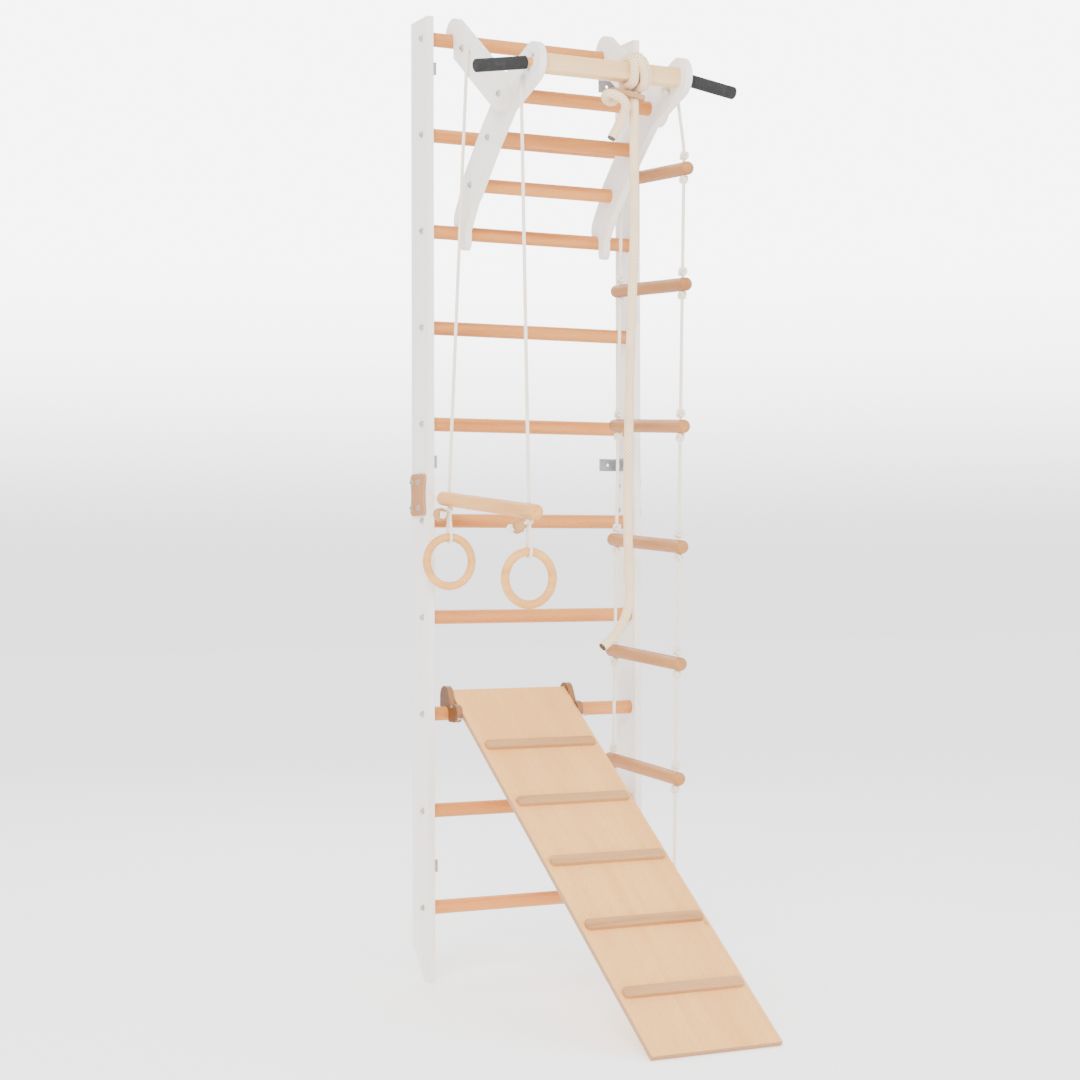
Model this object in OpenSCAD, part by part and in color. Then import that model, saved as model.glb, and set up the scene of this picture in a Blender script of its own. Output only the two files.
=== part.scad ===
// Wall bars with a hang-on pull-up frame, trapeze with rings, rope ladder,
// climbing rope and a hook-on slide board.
// X runs along the rungs, +Y points into the wall, +Z is up and the floor is Z = 0.
// Module bodies are drawn with the wall plane at Y = 0 and moved to the row frame at the end.

/* [Wall frame] */
// Height of the rails
frame_h = 2390; // [2380:5:2420]
// Width over the outer faces of the rails
frame_w = 600; // [590:5:640]
// Depth of the rails from the wall to their front edge
rail_d = 100; // [98:1:105]
// Thickness of the plywood rails and arms
ply_t = 18; // [16:1:18]
// Diameter of the wall rungs
rung_dia = 35; // [34:0.5:36]
// Height of the lowest rung
first_rung_z = 180; // [175:1:185]
// Distance between rungs, centre to centre
rung_pitch = 240; // [239:1:241]
// Distance of the rung axes from the wall
rung_from_wall = 68; // [66:1:70]
// Height of the joint between the lower and upper rail halves
joint_z = 1204; // [1195:1:1215]
// Depth of the foot that reaches the floor in front of the skirting cut-out
foot_d = 25; // [20:1:40]
// Height of the skirting cut-out
skirting_h = 80; // [60:5:100]

/* [Wall brackets] */
// Length of the bracket leg that lies on the wall
bracket_leg = 50; // [40:1:60]
// Height of the brackets
bracket_h = 32; // [28:1:40]
// Thickness of the bracket steel
bracket_t = 2.5; // [2:0.5:3]
// Diameter of the hole for the wall screw
wall_hole_dia = 8; // [6:0.5:9]

/* [Pull-up frame] */
// Half of the clear width between the lower arms
arm_gap = 186; // [184:1:188]
// Width of the upper arms
upper_arm_w = 86; // [80:1:90]
// Width of the lower arms
lower_arm_w = 96; // [90:1:100]
// Side of the square pull-up bar
bar_w = 42; // [38:1:42]
// Length of a grip from the arm to its end
grip_l = 146; // [130:1:150]
// Outer diameter of the foam on the grips
foam_dia = 31; // [28:1:34]
// Angle by which the grips drop outward
grip_drop = 9; // [5:1:10]

/* [Slide board] */
// Length of the board
board_l = 1250; // [1245:1:1255]
// Width of the board
board_w = 320; // [300:5:330]
// Thickness of the board
board_t = 12; // [12:1:13]
// Slope of the board above the floor
board_slope = 34.5; // [34:0.1:35]
// Thickness of the hook plates at the board's sides
hook_t = 15; // [12:1:18]
// Height of the cleats above the board
cleat_h = 9; // [6:1:12]
// Width of a cleat along the slope
cleat_w = 28; // [24:1:32]
// Distance between cleats
cleat_pitch = 211; // [205:1:212]

/* [Ropes, trapeze and ladder] */
// Diameter of the ladder and trapeze ropes
rope_dia = 8; // [7:0.5:8]
// Diameter of the climbing rope
climb_dia = 22; // [20:1:22]
// Length of the trapeze bar
trapeze_l = 540; // [535:5:560]
// Diameter of the trapeze bar
trapeze_dia = 35; // [33:1:36]
// Outer diameter of the rings
ring_od = 140; // [136:1:142]
// Thickness of the rings
ring_section = 20; // [18:0.5:20]
// Length of the ladder rungs
ladder_rung_l = 372; // [370:1:376]
// Angle by which the ladder hangs inward on its way down
ladder_lean = 1.1; // [0:0.1:1.2]
// Diameter of the ladder rungs
ladder_rung_dia = 33; // [30:1:33]

/* [Hidden] */
$fn = 64;

// colours
white_ply = [0.93, 0.92, 0.90];
beech = [0.87, 0.68, 0.50];
pale_beech = [0.90, 0.80, 0.67];
birch = [0.90, 0.79, 0.66];
brown_ply = [0.68, 0.52, 0.38];
cream = [0.94, 0.89, 0.78];
rope_white = [0.93, 0.91, 0.86];
steel = [0.55, 0.56, 0.56];
black_foam = [0.10, 0.10, 0.10];

// wall frame
rung_count = 10;
rung_l = frame_w - 2 * ply_t;
rung_y = -rung_from_wall;
inner_x = frame_w / 2 - ply_t;
function rung_z(i) = first_rung_z + i * rung_pitch;
bolt_r = 3;
bolt_bite = 45;
bracket_zs = [272, 1290, 2284];
bracket_hole_in = 26;
bracket_screw_ys = [-18, -34];
bracket_screw_r = 2;
splice_t = 6;
splice_w = 88;
splice_h = 104;
splice_y = -48;
splice_bolts_at = [[-18, 32], [-58, 32], [-18, -32], [-58, -32]];

// pull-up frame: points of the arm plates as [distance from the wall as -Y, Z]
hook_rung_z = rung_z(9);
rest_rung_z = rung_z(7);
arm_knee = [-352, 2155];
arm_mid = [-250, 2070];
arm_low = [-146, 1970];
arm_foot = [-88, 1893];
bar_at = [-490, 2204];
upper_arm_top = [-80, 2352];
stop_bolt_at = [-140, 2308];
upper_rope_hole = [-184, 2296];
lower_rope_hole = [-450, 2178];
hook_clear = 0.5;
rope_hole_r = 5;
lower_arm_x = arm_gap;
upper_arm_x = arm_gap + ply_t;
outer_arm_x = arm_gap + 2 * ply_t;
core_r = 11;
foam_start = 15;
foam_end = 6;       // closed end of the foam
foam_edge = 2.5;    // its chamfer

// slide: the board turns about the third rung
slide_rung_z = rung_z(2);
board_left = -224;
board_foot_y = -1085;
depth = -(board_foot_y - board_t * sin(board_slope));
wall_y = depth / 2;
cleat_count = 5;
first_cleat = 180;
cleat_inset = 12;
hook_upper = [-60, 702];
hook_lower = [-119, 664];

// hanging ropes: each leaves its arm through a hole; right side, mirrored on the left
rope_r = rope_dia / 2;
exit_gap = 2.5;
exit_back = [outer_arm_x + rope_r + exit_gap, upper_rope_hole[0], upper_rope_hole[1]];
exit_front = [upper_arm_x + rope_r + exit_gap, lower_rope_hole[0], lower_rope_hole[1]];
exits = [exit_back, exit_front];
anchor_x = [upper_arm_x, arm_gap];
knot_r = 10;

// trapeze, outside the left arms and in front of the left rail
trapeze_x = -264;
trapeze_back = -103;
trapeze_z = 1195;
trapeze_drop = 46;
trapeze_rope_in = 47;
trapeze_ys = [trapeze_back - trapeze_rope_in, trapeze_back - trapeze_l + trapeze_rope_in];
ring_drop = 135;
trapeze_knot_r = 7;
// a bead hangs beside each knot on a short tail; points are measured from the knot
bead_dia = 32;
bead_ends = [[[-25, 11, -12], [-25, -13, -12]], [[-17, 0, -6], [-40, 0, -14]]];
bead_tails = [[[-3, 7, -1], [-9, 16, -3], [-18, 21, -8], [-25, 18, -12], [-25, 11, -12],
    [-25, -14, -12]], [[-7, 0, -2.5], [-17, 0, -6], [-41, 0, -14.4]]];
strand_gap = 5;
loop_r = 3.5;
loop_gap = 1.5;

// rope ladder, outside the right arms
ladder_x = 224;
ladder_zs = [2002, 1720, 1375, 1083, 800, 523, 245];
ladder_back = -114;
ladder_drop = 23;
ladder_ys = [-142, -460];
ladder_end_z = 195;
ladder_knot_r = 9;
ladder_knot_up = [-27, 31];

// climbing rope: it hangs from its turns on the pull-up bar; points are [X, Z]
climb_r = climb_dia / 2;
wrap_x = [40, 100];
adjuster = [88, 36, 12];
adjuster_at = [50, 2150];
adjuster_tilt = 9;
rope_hole_x = 70;
knot_hole_x = 26;
climb_route = [[70, 2158], [70, 2100], [70, 2040], [70, 1980], [70, 1920], [70, 1850], [69, 1790],
    [66, 1730], [63, 1660], [60, 1590], [57, 1510], [55, 1430], [53, 1350], [51, 1270],
    [50, 1190], [50, 1110], [51, 1050], [54, 995], [55, 955], [51, 925], [40, 897],
    [22, 871], [2, 851], [-18, 836]];
// the knot under the adjuster and the tail beyond it: [X, Y from the bar's axis, Z]
tail_route = [[26, 0, 2163], [26, 1, 2147], [22, 9, 2134], [12, 17, 2133], [1, 15, 2139],
    [-6, 4, 2145], [-6, -10, 2147], [0, -22, 2144], [16, -27, 2138], [30, -27, 2128],
    [38, -19, 2115], [36, -9, 2100], [30, -4, 2084], [21, -1, 2065], [9, 0, 2044]];
cap_l = 3;
cord_sides = 10;

// ---- general shapes -------------------------------------------------------

// a flat plate from x to x + t whose outline is given as [Y, Z]
module plate(x, t) {
    translate([x, 0, 0]) rotate([90, 0, 90]) linear_extrude(t) children();
}

// the outline of a band of width w that follows the points p and has round ends
function arc(c, r, from, to) = [for (a = [from:5:to]) c + r * [cos(a), sin(a)]];
function band(p, w) =
    let (n = len(p), r = w / 2,
        dirs = [for (i = [0:n - 2]) atan2(p[i + 1][1] - p[i][1], p[i + 1][0] - p[i][0])],
        bends = [for (i = [1:1:n - 2]) let (a = (dirs[i - 1] + dirs[i]) / 2)
            r / cos(dirs[i] - a) * [-sin(a), cos(a)]])
    concat(arc(p[n - 1], r, dirs[n - 2] - 90, dirs[n - 2] + 90),
        [for (i = [n - 2:-1:1]) p[i] + bends[i - 1]],
        arc(p[0], r, dirs[0] + 90, dirs[0] + 270),
        [for (i = [1:1:n - 2]) p[i] - bends[i - 1]]);

// a rectangle with rounded corners, centred
module rounded(w, h, r) {
    square([w - 2 * r, h], center = true);
    square([w, h - 2 * r], center = true);
    for (x = [-1, 1], y = [-1, 1]) translate([x * (w / 2 - r), y * (h / 2 - r)]) circle(r);
}

// a straight round rod between two points in space
module rod(a, b, r) {
    v = b - a;
    translate(a)
        rotate([0, acos(v[2] / norm(v)), atan2(v[1], v[0])])
            cylinder(r = r, h = norm(v));
}

// a turned dowel along +Z whose ends are rounded with radius e
module dowel(l, d, e) {
    rotate_extrude() intersection() {
        square([d, l]);
        union() {
            square([d / 2 - e, l]);
            translate([0, e]) square([d / 2, l - 2 * e]);
            translate([d / 2 - e, e]) circle(e);
            translate([d / 2 - e, l - e]) circle(e);
        }
    }
}

// the same dowel laid between two points in space
module dowel_between(a, b, d, e) {
    v = b - a;
    translate(a)
        rotate([0, acos(v[2] / norm(v)), atan2(v[1], v[0])])
            dowel(norm(v), d, e);
}

// points along +X, from the outer side inward at a given face; side is -1 left, 1 right
module at_side(side, x, y, z) {
    translate([side * x, y, z]) rotate([0, -side * 90, 0]) children();
}

// a bolt that starts at the face and runs along +Z, with its washer and head outside
module bolt(r, l, head_r, washer_r) {
    difference() {
        union() {
            cylinder(r = r, h = l);
            translate([0, 0, -1.5]) cylinder(r = washer_r, h = 1.5);
            translate([0, 0, -6]) cylinder(r = head_r, h = 4.5);
        }
        translate([0, 0, -6.1]) cylinder(r = head_r / 2, h = 3.1, $fn = 6);
    }
}

module nut(r, h) {
    difference() {
        cylinder(r = r * 2.1, h = h, $fn = 6);
        translate([0, 0, -1]) cylinder(r = r, h = h + 2);
    }
}

// a tube swept along points in space
function unit(v) = v / norm(v);
function tangent(p, i) = unit(p[min(i + 1, len(p) - 1)] - p[max(i - 1, 0)]);
// one direction across the line at each point, carried on without spinning
function across(p, i = 0, last = [0.3, 1, 0.2]) =
    let (t = tangent(p, i), u = unit(last - t * (last * t)))
    concat([u], i < len(p) - 1 ? across(p, i + 1, u) : []);
function ring_points(p, i, u, r) =
    let (v = cross(tangent(p, i), u))
    [for (k = [0:cord_sides - 1])
        p[i] + r * (cos(360 * k / cord_sides) * u + sin(360 * k / cord_sides) * v)];
module tube(p, r) {
    n = cord_sides;
    us = across(p);
    points = [for (i = [0:len(p) - 1]) each ring_points(p, i, us[i], r)];
    last = (len(p) - 1) * n;
    sides = [for (i = [0:len(p) - 2], k = [0:n - 1])
        [i * n + k, (i + 1) * n + k, (i + 1) * n + (k + 1) % n, i * n + (k + 1) % n]];
    polyhedron(points, concat([[for (k = [0:n - 1]) k]], sides,
        [[for (k = [n - 1:-1:0]) last + k]]), convexity = 4);
}
function in_bar_plane(route) = [for (q = route) [q[0], bar_at[0], q[1]]];
function from_bar(route) = [for (q = route) [q[0], bar_at[0] + q[1], q[2]]];

// everything below is drawn from the wall and set into the row frame here
module placed() {
    translate([0, wall_y, 0]) children();
}

// ---- wall frame -----------------------------------------------------------

module rail_holes(side) {
    for (i = [0:rung_count - 1])
        at_side(side, frame_w / 2 + 1, rung_y, rung_z(i)) cylinder(r = bolt_r, h = ply_t + 2);
    for (b = splice_bolts_at)
        at_side(side, frame_w / 2 + 1, b[0], joint_z + b[1]) cylinder(r = bolt_r, h = ply_t + 2);
    for (z = bracket_zs, y = bracket_screw_ys)
        at_side(-side, -inner_x + 0.01, y, z) cylinder(r = bracket_screw_r, h = 13);
}

module rail(side, low) {
    x = side < 0 ? -frame_w / 2 : inner_x;
    outline = low
        ? [[-rail_d, 0], [-rail_d + foot_d, 0], [0, skirting_h], [0, joint_z], [-rail_d, joint_z]]
        : [[-rail_d, joint_z], [0, joint_z], [0, frame_h], [-rail_d, frame_h]];
    placed() color(white_ply) difference() {
        plate(x, ply_t) polygon(outline);
        rail_holes(side);
    }
}

module splice_plate(side) {
    x = side < 0 ? -frame_w / 2 - splice_t : frame_w / 2;
    waist_r = 150;
    difference() {
        plate(x, splice_t) translate([splice_y, joint_z]) difference() {
            rounded(splice_w, splice_h, 14);
            for (s = [-1, 1]) translate([s * (splice_w / 2 + waist_r - 5), 0])
                circle(waist_r, $fn = 180);
        }
        for (b = splice_bolts_at)
            at_side(side, frame_w / 2 + splice_t + 1, b[0], joint_z + b[1])
                cylinder(r = bolt_r, h = splice_t + 2);
    }
}

module splice_plates() {
    placed() color(brown_ply) for (side = [-1, 1]) splice_plate(side);
}

module splice_bolts() {
    placed() color(steel) for (side = [-1, 1], b = splice_bolts_at) {
        at_side(side, frame_w / 2 + splice_t, b[0], joint_z + b[1])
            bolt(bolt_r, ply_t + splice_t + 5, 5, 7.5);
        at_side(side, inner_x, b[0], joint_z + b[1]) nut(bolt_r, 4.5);
    }
}

module wall_rung(i) {
    placed() color(beech) difference() {
        translate([-rung_l / 2, rung_y, rung_z(i - 1)]) rotate([0, 90, 0])
            cylinder(d = rung_dia, h = rung_l);
        for (side = [-1, 1]) at_side(side, inner_x + 1, rung_y, rung_z(i - 1))
            cylinder(r = bolt_r, h = bolt_bite + 1);
    }
}

module rung_bolts() {
    placed() color(steel) for (side = [-1, 1], i = [0:rung_count - 1])
        at_side(side, frame_w / 2, rung_y, rung_z(i)) bolt(bolt_r, ply_t + bolt_bite, 5.5, 8);
}

module wall_bracket(side, z) {
    mirror([side < 0 ? 1 : 0, 0, 0]) difference() {
        union() {
            translate([inner_x - bracket_leg, -bracket_t, z - bracket_h / 2])
                cube([bracket_leg, bracket_t, bracket_h]);
            translate([inner_x - bracket_t, -bracket_leg, z - bracket_h / 2])
                cube([bracket_t, bracket_leg, bracket_h]);
        }
        translate([inner_x - bracket_hole_in, 1, z]) rotate([90, 0, 0])
            cylinder(d = wall_hole_dia, h = bracket_t + 2);
        for (y = bracket_screw_ys)
            translate([inner_x - bracket_t - 1, y, z]) rotate([0, 90, 0])
                cylinder(r = bracket_screw_r, h = bracket_t + 2);
    }
}

module wall_brackets() {
    placed() color(steel) for (side = [-1, 1], z = bracket_zs) wall_bracket(side, z);
}

module bracket_screws() {
    placed() color(steel) for (side = [-1, 1], z = bracket_zs, y = bracket_screw_ys)
        mirror([side < 0 ? 1 : 0, 0, 0]) translate([inner_x - bracket_t, y, z]) rotate([0, 90, 0]) {
            cylinder(r = bracket_screw_r, h = bracket_t + 12);
            translate([0, 0, -2.5]) cylinder(r = 4, h = 2.5);
        }
}

// ---- pull-up frame --------------------------------------------------------

module rung_notch(z, back_from) {
    // a slot that opens downward over a rung, and what lies behind it
    r = rung_dia / 2 + hook_clear;
    translate([rung_y, z]) circle(r);
    translate([rung_y - r, z - 90]) square([2 * r, 90]);
    translate([rung_y, z - 90]) square([120, 90 + back_from]);
}

module arm_hole(p, r) {
    translate([-outer_arm_x - 1, p[0], p[1]]) rotate([0, 90, 0]) cylinder(r = r, h = 2 * ply_t + 2);
}

module upper_arm(side) {
    placed() color(white_ply) mirror([side > 0 ? 1 : 0, 0, 0]) difference() {
        plate(-outer_arm_x, ply_t) difference() {
            polygon(band([arm_knee, upper_arm_top], upper_arm_w));
            rung_notch(hook_rung_z, -6);
        }
        arm_hole(arm_knee, bolt_r);
        arm_hole(stop_bolt_at, bolt_r);
        arm_hole(upper_rope_hole, rope_hole_r);
    }
}

module lower_arm(side) {
    leg_w = 32;
    leg_y = rung_y - rung_dia / 2 - leg_w / 2 + 2;
    placed() color(white_ply) mirror([side > 0 ? 1 : 0, 0, 0]) difference() {
        plate(-upper_arm_x, ply_t) difference() {
            union() {
                polygon(band([bar_at, arm_knee, arm_mid, arm_low], lower_arm_w));
                polygon(band([arm_low, arm_foot], lower_arm_w - 12));
                polygon(band([[leg_y, rest_rung_z + 25], [leg_y, rest_rung_z - 30]], leg_w));
            }
            rung_notch(rest_rung_z, rung_dia / 2 + hook_clear);
        }
        for (p = [arm_knee, arm_mid, arm_low]) arm_hole(p, bolt_r);
        for (p = bar_screws_at) arm_hole(p, bar_screw_r);
        arm_hole(lower_rope_hole, rope_hole_r);
    }
}

module frame_rung(p) {
    placed() color(beech) difference() {
        translate([-arm_gap, p[0], p[1]]) rotate([0, 90, 0]) cylinder(d = rung_dia, h = 2 * arm_gap);
        for (side = [-1, 1]) at_side(side, arm_gap + 1, p[0], p[1])
            cylinder(r = bolt_r, h = bolt_bite + 1);
    }
}

module arm_bolts() {
    placed() color(steel) for (side = [-1, 1]) {
        at_side(side, outer_arm_x, arm_knee[0], arm_knee[1])
            bolt(bolt_r, 2 * ply_t + bolt_bite, 5.5, 8);
        for (p = [arm_mid, arm_low]) at_side(side, upper_arm_x, p[0], p[1])
            bolt(bolt_r, ply_t + bolt_bite, 5.5, 8);
        at_side(side, outer_arm_x, stop_bolt_at[0], stop_bolt_at[1])
            bolt(bolt_r, ply_t + 6, 5.5, 8);
        at_side(side, upper_arm_x, stop_bolt_at[0], stop_bolt_at[1]) nut(bolt_r, 5);
        for (p = bar_screws_at) at_side(side, upper_arm_x, p[0], p[1]) {
            cylinder(r = bar_screw_r, h = ply_t + 40);
            translate([0, 0, -2.5]) cylinder(r = 4.5, h = 2.5);
        }
    }
}

bar_screw_r = 2.5;
bar_screws_at = [[bar_at[0] - 14, bar_at[1] + 14], [bar_at[0] + 14, bar_at[1] - 14]];

module pull_up_bar() {
    placed() color(cream) difference() {
        plate(-arm_gap, 2 * arm_gap) translate(bar_at) rounded(bar_w, bar_w, 5);
        for (side = [-1, 1], p = bar_screws_at) at_side(side, arm_gap + 1, p[0], p[1])
            cylinder(r = bar_screw_r, h = 41);
    }
}

// the knot behind each rope hole and the rope through the hole
module rope_anchors() {
    placed() color(rope_white) for (side = [-1, 1], k = [0, 1])
        at_side(side, exits[k][0] - rope_r - 0.4, exits[k][1], exits[k][2]) {
            through = exits[k][0] - rope_r - 0.4 - anchor_x[k];
            cylinder(r = rope_r, h = through + knot_r);
            translate([0, 0, through + knot_r - 0.5]) sphere(knot_r);
        }
}

// the grip's own line: out of the lower arm on the bar's axis, dropping outward
module along_grip(side) {
    mirror([side < 0 ? 1 : 0, 0, 0]) translate([upper_arm_x, bar_at[0], bar_at[1]])
        rotate([0, 90 + grip_drop, 0]) children();
}

module grip_core(side) {
    placed() color(pale_beech) difference() {
        along_grip(side) translate([0, 0, -6]) cylinder(r = core_r, h = grip_l - foam_end + 5.5);
        translate([-upper_arm_x, bar_at[0] - 50, bar_at[1] - 50]) cube([2 * upper_arm_x, 100, 100]);
    }
}

module grip_foam(side) {
    tube_l = grip_l - foam_start;
    placed() color(black_foam) along_grip(side) translate([0, 0, foam_start]) difference() {
        union() {
            cylinder(d = foam_dia, h = tube_l - foam_edge);
            translate([0, 0, tube_l - foam_edge])
                cylinder(d1 = foam_dia, d2 = foam_dia - 2 * foam_edge, h = foam_edge);
        }
        translate([0, 0, -1]) cylinder(r = core_r, h = tube_l - foam_end + 1);
    }
}

// ---- slide ----------------------------------------------------------------

// the board's own frame: X across, Y up the slope from the foot, Z out of its upper face
module on_board() {
    translate([board_left, board_foot_y, 0]) rotate([board_slope, 0, 0]) children();
}

module cleat_screw_places() {
    for (i = [0:cleat_count - 1], x = [60, board_w - 60])
        translate([x, first_cleat + i * cleat_pitch, 0]) children();
}

function hook_screws_at() = [for (s = [60, 110])
    let (q = board_l - s) [board_foot_y + q * cos(board_slope) - board_t / 2 * sin(board_slope),
        q * sin(board_slope) + board_t / 2 * cos(board_slope)]];

module slide_board() {
    placed() color(birch) difference() {
        on_board() difference() {
            cube([board_w, board_l, board_t]);
            cleat_screw_places() translate([0, 0, -1]) cylinder(r = 1.8, h = board_t + 2);
        }
        for (p = hook_screws_at(), x = [board_left - 0.01, board_left + board_w - 30])
            translate([x, p[0], p[1]]) rotate([0, 90, 0]) cylinder(r = 1.8, h = 30.01);
    }
}

module slide_cleats() {
    placed() color(pale_beech) on_board() difference() {
        for (i = [0:cleat_count - 1])
            translate([board_w / 2, first_cleat + i * cleat_pitch, board_t]) linear_extrude(cleat_h)
                rounded(board_w - 2 * cleat_inset, cleat_w, 9);
        cleat_screw_places() cylinder(r = 1.8, h = board_t + 6);
    }
}

module slide_hook(side) {
    x = side < 0 ? board_left - hook_t : board_left + board_w;
    placed() color(brown_ply) difference() {
        plate(x, hook_t) difference() {
            union() {
                translate(hook_upper) circle(26);
                polygon(band([hook_lower, hook_lower - [0, 4]], 40));
                polygon([[-34, 664], [-34, 702], [-84, 712], [-99, 684], [-119, 684],
                    [-119, 640], [-80, 640]]);
            }
            rung_notch(slide_rung_z, 4);
        }
        for (p = hook_screws_at())
            translate([x - 1, p[0], p[1]]) rotate([0, 90, 0]) cylinder(r = 1.8, h = hook_t + 2);
    }
}

module slide_screws() {
    placed() color(steel) {
        for (side = [-1, 1], p = hook_screws_at())
            translate([side < 0 ? board_left - hook_t : board_left + board_w + hook_t, p[0], p[1]])
                rotate([0, -side * 90, 0]) {
                    cylinder(r = 1.8, h = hook_t + 30);
                    translate([0, 0, -2]) cylinder(r = 3.8, h = 2);
                }
        on_board() cleat_screw_places() {
            cylinder(r = 1.8, h = board_t + 6);
            translate([0, 0, -1.6]) cylinder(r = 3.6, h = 1.6);
        }
    }
}

// ---- trapeze and rings ----------------------------------------------------

function trapeze_point(y) =
    [trapeze_x, y, trapeze_z - trapeze_drop * (trapeze_back - y) / trapeze_l];
function under_bar(k) = trapeze_point(trapeze_ys[k]) - [0, 0, trapeze_dia / 2 + 0.4];
function trapeze_knot(k) = under_bar(k) - [0, 0, trapeze_knot_r + 0.4];
function bead_knot(k) = trapeze_knot(k) + bead_ends[k][1]
    + unit(bead_ends[k][1] - bead_ends[k][0]) * (trapeze_knot_r + 1.6);
function loop_top(k) = trapeze_knot(k) - [0, 0, trapeze_knot_r + loop_gap];
function ring_centre(k) = under_bar(k) - [0, 0, ring_drop];
function left(p) = [-p[0], p[1], p[2]];

module trapeze_bar() {
    ends = [trapeze_point(trapeze_back), trapeze_point(trapeze_back - trapeze_l)];
    placed() color(pale_beech) difference() {
        dowel_between(ends[0], ends[1], trapeze_dia, 11);
        for (k = [0, 1]) translate(under_bar(k)) cylinder(r = rope_r + 0.5, h = 60);
    }
}

module trapeze_ropes() {
    placed() color(rope_white) for (k = [0, 1]) {
        tube([left(exits[k]), trapeze_point(trapeze_ys[k]) + [0, 0, trapeze_dia / 2 + 6],
            trapeze_point(trapeze_ys[k]), trapeze_knot(k)], rope_r);
        translate(trapeze_knot(k)) tube(bead_tails[k], rope_r);
    }
}

module trapeze_knots() {
    placed() color(rope_white) for (k = [0, 1]) {
        translate(trapeze_knot(k)) difference() {
            sphere(trapeze_knot_r);
            cylinder(r = rope_r, h = trapeze_knot_r + 1);
        }
        translate(bead_knot(k)) sphere(trapeze_knot_r);
    }
}

// a turned bead on each short tail
module trapeze_beads() {
    placed() color(beech) for (k = [0, 1]) translate(trapeze_knot(k)) difference() {
        ends = bead_ends[k];
        out = unit(ends[1] - ends[0]);
        dowel_between(ends[0], ends[1], bead_dia, 6);
        rod(ends[0] - out, ends[1] + out, rope_r + 0.5);
    }
}

// down beside the ring, round under its upper edge and up again
function loop_route(k) =
    let (c = loop_top(k), r = ring_section / 2 + loop_r,
        low = ring_centre(k)[2] + (ring_od - ring_section) / 2)
    concat([c + [0, -strand_gap, 0]],
        [for (a = [0:30:180]) [c[0], c[1] - r * cos(a), low - r * sin(a)]],
        [c + [0, strand_gap, 0]]);

module ring_loop(k) {
    placed() color(rope_white) tube(loop_route(k), loop_r);
}

module ring(k) {
    placed() color(pale_beech) translate(ring_centre(k))
        rotate([90, 0, 0]) rotate_extrude($fn = 96)
            translate([(ring_od - ring_section) / 2, 0]) circle(d = ring_section, $fn = 48);
}

// ---- rope ladder ----------------------------------------------------------

function ladder_at(z) = ladder_x - (ladder_zs[0] - z) * tan(ladder_lean);
function ladder_point(i, y) = [ladder_at(ladder_zs[i]), y,
    ladder_zs[i] + ladder_drop * (0.5 - (ladder_back - y) / ladder_rung_l)];

module ladder_rung(i) {
    ends = [ladder_point(i - 1, ladder_back), ladder_point(i - 1, ladder_back - ladder_rung_l)];
    placed() color(pale_beech) difference() {
        dowel_between(ends[0], ends[1], ladder_rung_dia, 10);
        for (y = ladder_ys) translate(ladder_point(i - 1, y) - [0, 0, 40])
            cylinder(r = rope_r + 1, h = 80);
    }
}

// a place on a ladder rope, up or down from rung i
function on_ladder_rope(i, y, up) =
    let (z = ladder_point(i, y)[2] + up) [ladder_at(z), y, z];

module ladder_ropes() {
    placed() color(rope_white) for (k = [0, 1])
        tube([exits[k], on_ladder_rope(0, ladder_ys[k], ladder_knot_up[1] + 20),
            on_ladder_rope(0, ladder_ys[k], 0),
            [ladder_at(ladder_end_z), ladder_ys[k], ladder_end_z]], rope_r);
}

// a knot above and below every rung
module ladder_knots() {
    placed() color(rope_white)
        for (y = ladder_ys, i = [0:len(ladder_zs) - 1], up = ladder_knot_up)
            translate(on_ladder_rope(i, y, up)) difference() {
                sphere(ladder_knot_r);
                rotate([0, ladder_lean, 0]) translate([0, 0, -ladder_knot_r - 1])
                    cylinder(r = rope_r + 0.05, h = 2 * ladder_knot_r + 2);
            }
}

// ---- climbing rope --------------------------------------------------------

module climbing_rope() {
    placed() color(rope_white) tube(in_bar_plane(climb_route), climb_r);
}

module climbing_rope_tail() {
    placed() color(rope_white) tube(from_bar(tail_route), climb_r);
}

module rope_wrap() {
    placed() color(rope_white) plate(wrap_x[0], wrap_x[1] - wrap_x[0]) translate(bar_at) difference() {
        rounded(bar_w + 2 * climb_dia, bar_w + 2 * climb_dia, climb_dia);
        rounded(bar_w, bar_w, 5);
    }
}

module rope_adjuster() {
    placed() color(brown_ply) difference() {
        translate([adjuster_at[0], bar_at[0], adjuster_at[1]]) rotate([0, adjuster_tilt, 0])
            translate([0, 0, -adjuster[2] / 2]) linear_extrude(adjuster[2])
                rounded(adjuster[0], adjuster[1], 10);
        for (x = [rope_hole_x, knot_hole_x]) translate([x, bar_at[0], adjuster_at[1] - 60])
            cylinder(r = climb_r + 1, h = 120);
    }
}

// a sleeve on the last stretch of a route
module end_cap(p) {
    n = len(p);
    out = unit(p[n - 1] - p[n - 2]);
    rod(p[n - 1] + out * 0.01, p[n - 1] + out * cap_l, climb_r - 1);
}

module rope_end_caps() {
    placed() color(black_foam) {
        end_cap(in_bar_plane(climb_route));
        end_cap(from_bar(tail_route));
    }
}

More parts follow.
